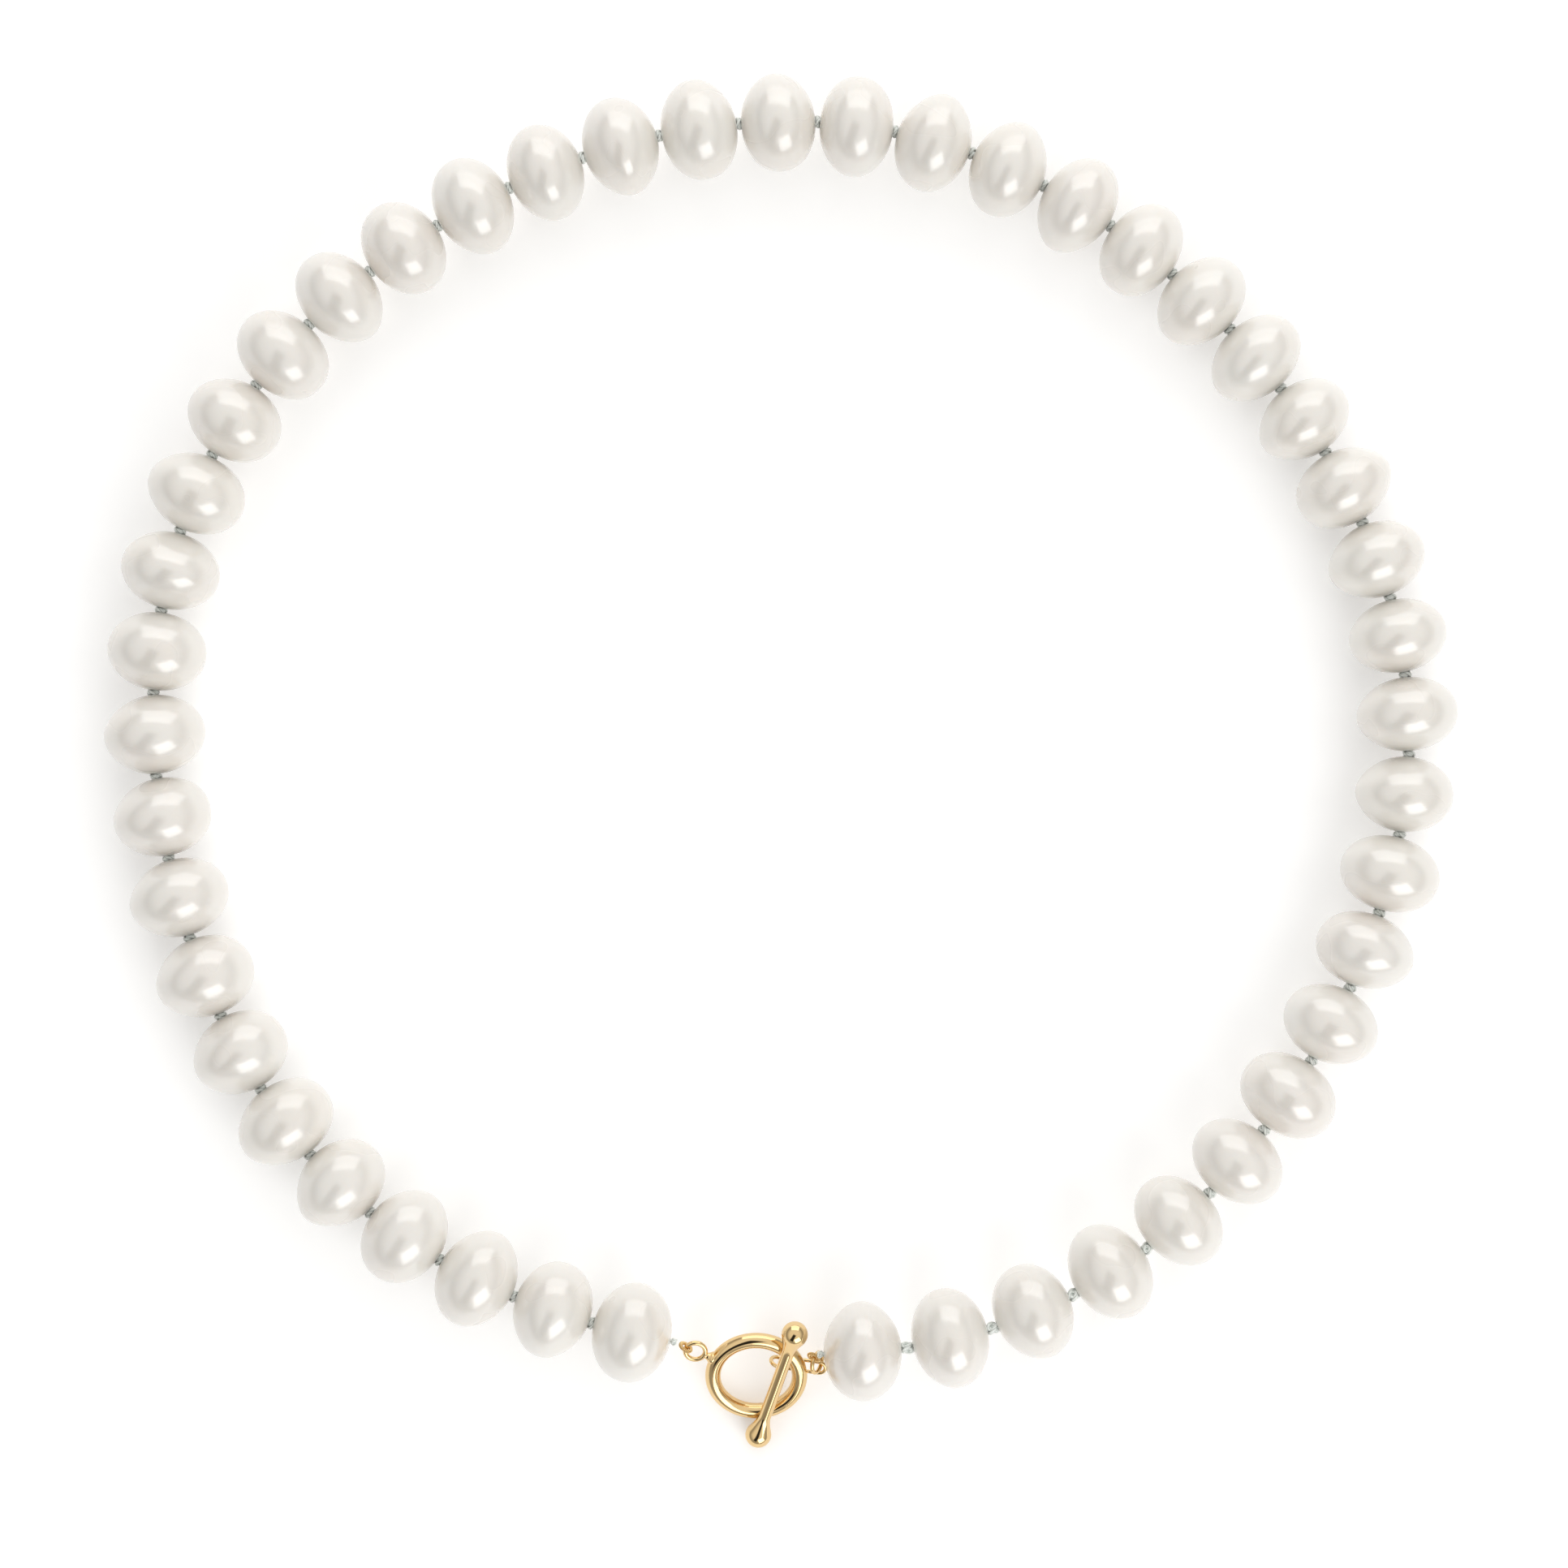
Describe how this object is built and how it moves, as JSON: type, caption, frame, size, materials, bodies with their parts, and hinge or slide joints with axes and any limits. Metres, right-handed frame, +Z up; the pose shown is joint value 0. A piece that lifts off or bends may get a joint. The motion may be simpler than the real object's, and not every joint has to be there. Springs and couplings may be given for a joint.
{
  "type": "pearl necklace",
  "caption": "Single strand of button-shaped pearls with a silk knot between neighbours, closed in a loop by a gold ring-and-bar toggle clasp.",
  "frame": {"origin": "on the table under the middle of the loop", "axes": "+Z up from the table, -Y towards the clasp, +X towards the bar's side of the clasp"},
  "size_m": [0.1582, 0.161, 0.0119],
  "materials": {
    "pearl": "glossy nacre",
    "silk": "twisted silk",
    "gold": "polished gold",
    "gimp": "fine gold coil"
  },
  "bodies": {
    "pearl_01": {"pearl_01": "pearl", "gimp_left": "gimp"},
    "pearl_02": {"pearl_02": "pearl"},
    "pearl_03": {"pearl_03": "pearl"},
    "pearl_04": {"pearl_04": "pearl"},
    "pearl_05": {"pearl_05": "pearl"},
    "pearl_06": {"pearl_06": "pearl"},
    "pearl_07": {"pearl_07": "pearl"},
    "pearl_08": {"pearl_08": "pearl"},
    "pearl_09": {"pearl_09": "pearl"},
    "pearl_10": {"pearl_10": "pearl"},
    "pearl_11": {"pearl_11": "pearl"},
    "pearl_12": {"pearl_12": "pearl"},
    "pearl_13": {"pearl_13": "pearl"},
    "pearl_14": {"pearl_14": "pearl"},
    "pearl_15": {"pearl_15": "pearl"},
    "pearl_16": {"pearl_16": "pearl"},
    "pearl_17": {"pearl_17": "pearl"},
    "pearl_18": {"pearl_18": "pearl"},
    "pearl_19": {"pearl_19": "pearl"},
    "pearl_20": {"pearl_20": "pearl"},
    "pearl_21": {"pearl_21": "pearl"},
    "pearl_22": {"pearl_22": "pearl"},
    "pearl_23": {"pearl_23": "pearl", "silk_thread": "silk", "silk_knots": "silk"},
    "pearl_24": {"pearl_24": "pearl"},
    "pearl_25": {"pearl_25": "pearl"},
    "pearl_26": {"pearl_26": "pearl"},
    "pearl_27": {"pearl_27": "pearl"},
    "pearl_28": {"pearl_28": "pearl"},
    "pearl_29": {"pearl_29": "pearl"},
    "pearl_30": {"pearl_30": "pearl"},
    "pearl_31": {"pearl_31": "pearl"},
    "pearl_32": {"pearl_32": "pearl"},
    "pearl_33": {"pearl_33": "pearl"},
    "pearl_34": {"pearl_34": "pearl"},
    "pearl_35": {"pearl_35": "pearl"},
    "pearl_36": {"pearl_36": "pearl"},
    "pearl_37": {"pearl_37": "pearl"},
    "pearl_38": {"pearl_38": "pearl"},
    "pearl_39": {"pearl_39": "pearl"},
    "pearl_40": {"pearl_40": "pearl"},
    "pearl_41": {"pearl_41": "pearl"},
    "pearl_42": {"pearl_42": "pearl"},
    "pearl_43": {"pearl_43": "pearl"},
    "pearl_44": {"pearl_44": "pearl"},
    "pearl_45": {"pearl_45": "pearl"},
    "pearl_46": {"pearl_46": "pearl", "gimp_right": "gimp"},
    "clasp_ring": {"toggle_ring": "gold", "ring_eyelet": "gold"},
    "end_ring": {"end_ring": "gold"},
    "link": {"bar_link": "gold"},
    "clasp_bar": {"toggle_bar": "gold", "bar_ball_upper": "gold", "bar_ball_lower": "gold", "bar_eyelet": "gold"}
  },
  "joints": [
    {"name": "bend_22", "type": "hinge", "parent": "pearl_23", "child": "pearl_22", "pos_m": [-0.00492, 0.0747, 0.00595], "axis": [0, 0, 1], "range_deg": [-5.21, 5.21]},
    {"name": "bend_21", "type": "hinge", "parent": "pearl_22", "child": "pearl_21", "pos_m": [-0.01421, 0.07325, 0.00595], "axis": [0, 0, 1], "range_deg": [-4.85, 4.85]},
    {"name": "bend_20", "type": "hinge", "parent": "pearl_21", "child": "pearl_20", "pos_m": [-0.02319, 0.07069, 0.00595], "axis": [0, 0, 1], "range_deg": [-4.17, 4.17]},
    {"name": "bend_19", "type": "hinge", "parent": "pearl_20", "child": "pearl_19", "pos_m": [-0.03175, 0.06721, 0.00595], "axis": [0, 0, 1], "range_deg": [-3.19, 3.19]},
    {"name": "bend_18", "type": "hinge", "parent": "pearl_19", "child": "pearl_18", "pos_m": [-0.04009, 0.06278, 0.00595], "axis": [0, 0, 1], "range_deg": [-1.66, 1.66]},
    {"name": "bend_17", "type": "hinge", "parent": "pearl_18", "child": "pearl_17", "pos_m": [-0.04799, 0.05743, 0.00595], "axis": [0, 0, 1], "range_deg": [-0.85, 0.85]},
    {"name": "bend_16", "type": "hinge", "parent": "pearl_17", "child": "pearl_16", "pos_m": [-0.05508, 0.05126, 0.00595], "axis": [0, 0, 1], "range_deg": [-1.64, 1.64]},
    {"name": "bend_15", "type": "hinge", "parent": "pearl_16", "child": "pearl_15", "pos_m": [-0.06128, 0.04413, 0.00595], "axis": [0, 0, 1], "range_deg": [-3.25, 3.25]},
    {"name": "bend_14", "type": "hinge", "parent": "pearl_15", "child": "pearl_14", "pos_m": [-0.06643, 0.03595, 0.00595], "axis": [0, 0, 1], "range_deg": [-5.19, 5.19]},
    {"name": "bend_13", "type": "hinge", "parent": "pearl_14", "child": "pearl_13", "pos_m": [-0.07017, 0.02709, 0.00595], "axis": [0, 0, 1], "range_deg": [-7.01, 7.01]},
    {"name": "drape", "type": "hinge", "parent": "pearl_13", "child": "pearl_12", "pos_m": [-0.07243, 0.01786, 0.00595], "axis": [0.9986, -0.0523, 0], "range_deg": [-10.28, 10.28], "deforming": ["silk_thread", "silk_knots"]},
    {"name": "bend_11", "type": "hinge", "parent": "pearl_12", "child": "pearl_11", "pos_m": [-0.07334, 0.00823, 0.00595], "axis": [0, 0, 1], "range_deg": [-7.66, 7.66]},
    {"name": "fold_10", "type": "hinge", "parent": "pearl_11", "child": "pearl_10", "pos_m": [-0.07298, -0.00155, 0.00595], "axis": [0.9986, -0.0523, 0], "range_deg": [-18.2, 18.2]},
    {"name": "bend_09", "type": "hinge", "parent": "pearl_10", "child": "pearl_09", "pos_m": [-0.07152, -0.01108, 0.00595], "axis": [0, 0, 1], "range_deg": [-7.92, 7.92]},
    {"name": "fold_08", "type": "hinge", "parent": "pearl_09", "child": "pearl_08", "pos_m": [-0.06906, -0.02038, 0.00595], "axis": [0.9986, -0.0523, 0], "range_deg": [-15.46, 15.46]},
    {"name": "bend_07", "type": "hinge", "parent": "pearl_08", "child": "pearl_07", "pos_m": [-0.0655, -0.02953, 0.00595], "axis": [0, 0, 1], "range_deg": [-6.78, 6.78]},
    {"name": "bend_06", "type": "hinge", "parent": "pearl_07", "child": "pearl_06", "pos_m": [-0.0608, -0.03811, 0.00595], "axis": [0, 0, 1], "range_deg": [-4.37, 4.37]},
    {"name": "bend_05", "type": "hinge", "parent": "pearl_06", "child": "pearl_05", "pos_m": [-0.05499, -0.04577, 0.00595], "axis": [0, 0, 1], "range_deg": [-1.48, 1.48]},
    {"name": "bend_04", "type": "hinge", "parent": "pearl_05", "child": "pearl_04", "pos_m": [-0.04797, -0.05249, 0.00595], "axis": [0, 0, 1], "range_deg": [-1.78, 1.78]},
    {"name": "bend_03", "type": "hinge", "parent": "pearl_04", "child": "pearl_03", "pos_m": [-0.03988, -0.05807, 0.00595], "axis": [0, 0, 1], "range_deg": [-4.98, 4.98]},
    {"name": "bend_02", "type": "hinge", "parent": "pearl_03", "child": "pearl_02", "pos_m": [-0.0312, -0.06232, 0.00595], "axis": [0, 0, 1], "range_deg": [-7.69, 7.69]},
    {"name": "bend_01", "type": "hinge", "parent": "pearl_02", "child": "pearl_01", "pos_m": [-0.02214, -0.06542, 0.00595], "axis": [0, 0, 1], "range_deg": [-9.57, 9.57]},
    {"name": "squeeze", "type": "hinge", "parent": "pearl_23", "child": "pearl_24", "pos_m": [0.00429, 0.07488, 0.00595], "axis": [0, 0, 1], "range_deg": [-3.27, 3.27], "deforming": ["silk_thread", "silk_knots"]},
    {"name": "bend_24", "type": "hinge", "parent": "pearl_24", "child": "pearl_25", "pos_m": [0.01335, 0.07372, 0.00595], "axis": [0, 0, 1], "range_deg": [-5.01, 5.01]},
    {"name": "bend_25", "type": "hinge", "parent": "pearl_25", "child": "pearl_26", "pos_m": [0.0223, 0.0712, 0.00595], "axis": [0, 0, 1], "range_deg": [-4.48, 4.48]},
    {"name": "bend_26", "type": "hinge", "parent": "pearl_26", "child": "pearl_27", "pos_m": [0.03076, 0.06743, 0.00595], "axis": [0, 0, 1], "range_deg": [-3.69, 3.69]},
    {"name": "bend_27", "type": "hinge", "parent": "pearl_27", "child": "pearl_28", "pos_m": [0.0385, 0.06272, 0.00595], "axis": [0, 0, 1], "range_deg": [-2.66, 2.66]},
    {"name": "bend_28", "type": "hinge", "parent": "pearl_28", "child": "pearl_29", "pos_m": [0.04573, 0.05711, 0.00595], "axis": [0, 0, 1], "range_deg": [-1.76, 1.76]},
    {"name": "bend_29", "type": "hinge", "parent": "pearl_29", "child": "pearl_30", "pos_m": [0.05246, 0.0507, 0.00595], "axis": [0, 0, 1], "range_deg": [-0.81, 0.81]},
    {"name": "bend_30", "type": "hinge", "parent": "pearl_30", "child": "pearl_31", "pos_m": [0.05844, 0.04377, 0.00595], "axis": [0, 0, 1], "range_deg": [-1.28, 1.28]},
    {"name": "bend_31", "type": "hinge", "parent": "pearl_31", "child": "pearl_32", "pos_m": [0.06362, 0.03631, 0.00595], "axis": [0, 0, 1], "range_deg": [-3.23, 3.23]},
    {"name": "bend_32", "type": "hinge", "parent": "pearl_32", "child": "pearl_33", "pos_m": [0.06796, 0.02811, 0.00595], "axis": [0, 0, 1], "range_deg": [-4.84, 4.84]},
    {"name": "bend_33", "type": "hinge", "parent": "pearl_33", "child": "pearl_34", "pos_m": [0.07115, 0.01935, 0.00595], "axis": [0, 0, 1], "range_deg": [-6.38, 6.38]},
    {"name": "fold_34", "type": "hinge", "parent": "pearl_34", "child": "pearl_35", "pos_m": [0.07296, 0.01034, 0.00595], "axis": [0.9986, -0.0523, 0], "range_deg": [-16.41, 16.41]},
    {"name": "bend_35", "type": "hinge", "parent": "pearl_35", "child": "pearl_36", "pos_m": [0.07334, 0.00107, 0.00595], "axis": [0, 0, 1], "range_deg": [-7.85, 7.85]},
    {"name": "fold_36", "type": "hinge", "parent": "pearl_36", "child": "pearl_37", "pos_m": [0.07229, -0.00836, 0.00595], "axis": [0.9986, -0.0523, 0], "range_deg": [-16.25, 16.25]},
    {"name": "bend_37", "type": "hinge", "parent": "pearl_37", "child": "pearl_38", "pos_m": [0.06992, -0.01751, 0.00595], "axis": [0, 0, 1], "range_deg": [-8.01, 8.01]},
    {"name": "fold_38", "type": "hinge", "parent": "pearl_38", "child": "pearl_39", "pos_m": [0.06647, -0.02625, 0.00595], "axis": [0.9986, -0.0523, 0], "range_deg": [-17.5, 17.5]},
    {"name": "bend_39", "type": "hinge", "parent": "pearl_39", "child": "pearl_40", "pos_m": [0.06197, -0.03477, 0.00595], "axis": [0, 0, 1], "range_deg": [-6.13, 6.13]},
    {"name": "bend_40", "type": "hinge", "parent": "pearl_40", "child": "pearl_41", "pos_m": [0.05647, -0.04287, 0.00595], "axis": [0, 0, 1], "range_deg": [-4.06, 4.06]},
    {"name": "bend_41", "type": "hinge", "parent": "pearl_41", "child": "pearl_42", "pos_m": [0.05011, -0.05022, 0.00595], "axis": [0, 0, 1], "range_deg": [-1.49, 1.49]},
    {"name": "bend_42", "type": "hinge", "parent": "pearl_42", "child": "pearl_43", "pos_m": [0.04273, -0.05671, 0.00595], "axis": [0, 0, 1], "range_deg": [-1.46, 1.46]},
    {"name": "bend_43", "type": "hinge", "parent": "pearl_43", "child": "pearl_44", "pos_m": [0.03415, -0.06212, 0.00595], "axis": [0, 0, 1], "range_deg": [-4.5, 4.5]},
    {"name": "bend_44", "type": "hinge", "parent": "pearl_44", "child": "pearl_45", "pos_m": [0.02472, -0.06603, 0.00595], "axis": [0, 0, 1], "range_deg": [-7.24, 7.24]},
    {"name": "bend_45", "type": "hinge", "parent": "pearl_45", "child": "pearl_46", "pos_m": [0.01476, -0.06831, 0.00595], "axis": [0, 0, 1], "range_deg": [-9.26, 9.26]},
    {"name": "end_ring_swing", "type": "hinge", "parent": "pearl_46", "child": "end_ring", "pos_m": [0.00391, -0.06956, 0.00463], "axis": [-0.3989, -0.7854, 0.4733], "range_deg": [-0.57, 0.57]},
    {"name": "link_swing", "type": "hinge", "parent": "end_ring", "child": "link", "pos_m": [0.00455, -0.071, 0.00277], "axis": [0.1091, 0.8609, 0.497], "range_deg": [-0.59, 0.59]},
    {"name": "ring_swing", "type": "hinge", "parent": "pearl_01", "child": "clasp_ring", "pos_m": [-0.01106, -0.06833, 0.00556], "axis": [0, -0.5, 0.866], "range_deg": [-1.5, 1.5]},
    {"name": "bar_turn", "type": "hinge", "parent": "link", "child": "clasp_bar", "pos_m": [-0.00025, -0.07189, 0.00569], "axis": [0, -0.5, 0.866], "range_deg": [-1.5, 12]}
  ],
  "couplings": [
    {"joint": "bend_22", "follows": "squeeze", "ratio": -0.99233},
    {"joint": "bend_21", "follows": "squeeze", "ratio": -0.92385},
    {"joint": "bend_20", "follows": "squeeze", "ratio": -0.7937},
    {"joint": "bend_19", "follows": "squeeze", "ratio": -0.60613},
    {"joint": "bend_18", "follows": "squeeze", "ratio": -0.31346},
    {"joint": "bend_17", "follows": "squeeze", "ratio": -0.15932},
    {"joint": "bend_16", "follows": "squeeze", "ratio": 0.30924},
    {"joint": "bend_15", "follows": "squeeze", "ratio": 0.61728},
    {"joint": "bend_14", "follows": "squeeze", "ratio": 0.9887},
    {"joint": "bend_13", "follows": "squeeze", "ratio": 1.3368},
    {"joint": "bend_11", "follows": "squeeze", "ratio": 1.4595},
    {"joint": "fold_10", "follows": "drape", "ratio": 1.1051},
    {"joint": "bend_09", "follows": "squeeze", "ratio": 1.5109},
    {"joint": "fold_08", "follows": "drape", "ratio": 0.93804},
    {"joint": "bend_07", "follows": "squeeze", "ratio": 1.2916},
    {"joint": "bend_06", "follows": "squeeze", "ratio": 0.83227},
    {"joint": "bend_05", "follows": "squeeze", "ratio": 0.27834},
    {"joint": "bend_04", "follows": "squeeze", "ratio": -0.3363},
    {"joint": "bend_03", "follows": "squeeze", "ratio": -0.94815},
    {"joint": "bend_02", "follows": "squeeze", "ratio": -1.4652},
    {"joint": "bend_01", "follows": "squeeze", "ratio": -1.8259},
    {"joint": "bend_24", "follows": "squeeze", "ratio": 0.95329},
    {"joint": "bend_25", "follows": "squeeze", "ratio": 0.85264},
    {"joint": "bend_26", "follows": "squeeze", "ratio": 0.70065},
    {"joint": "bend_27", "follows": "squeeze", "ratio": 0.50459},
    {"joint": "bend_28", "follows": "squeeze", "ratio": 0.33316},
    {"joint": "bend_29", "follows": "squeeze", "ratio": -0.15001},
    {"joint": "bend_30", "follows": "squeeze", "ratio": -0.24088},
    {"joint": "bend_31", "follows": "squeeze", "ratio": -0.61276},
    {"joint": "bend_32", "follows": "squeeze", "ratio": -0.92135},
    {"joint": "bend_33", "follows": "squeeze", "ratio": -1.2163},
    {"joint": "fold_34", "follows": "drape", "ratio": 0.99621},
    {"joint": "bend_35", "follows": "squeeze", "ratio": -1.4973},
    {"joint": "fold_36", "follows": "drape", "ratio": 0.9866},
    {"joint": "bend_37", "follows": "squeeze", "ratio": -1.5274},
    {"joint": "fold_38", "follows": "drape", "ratio": 1.0623},
    {"joint": "bend_39", "follows": "squeeze", "ratio": -1.1683},
    {"joint": "bend_40", "follows": "squeeze", "ratio": -0.77133},
    {"joint": "bend_41", "follows": "squeeze", "ratio": -0.28128},
    {"joint": "bend_42", "follows": "squeeze", "ratio": 0.2744},
    {"joint": "bend_43", "follows": "squeeze", "ratio": 0.85606},
    {"joint": "bend_44", "follows": "squeeze", "ratio": 1.3801},
    {"joint": "bend_45", "follows": "squeeze", "ratio": 1.766},
    {"joint": "end_ring_swing", "follows": "drape", "ratio": 0.03333},
    {"joint": "link_swing", "follows": "squeeze", "ratio": -0.10827}
  ]
}
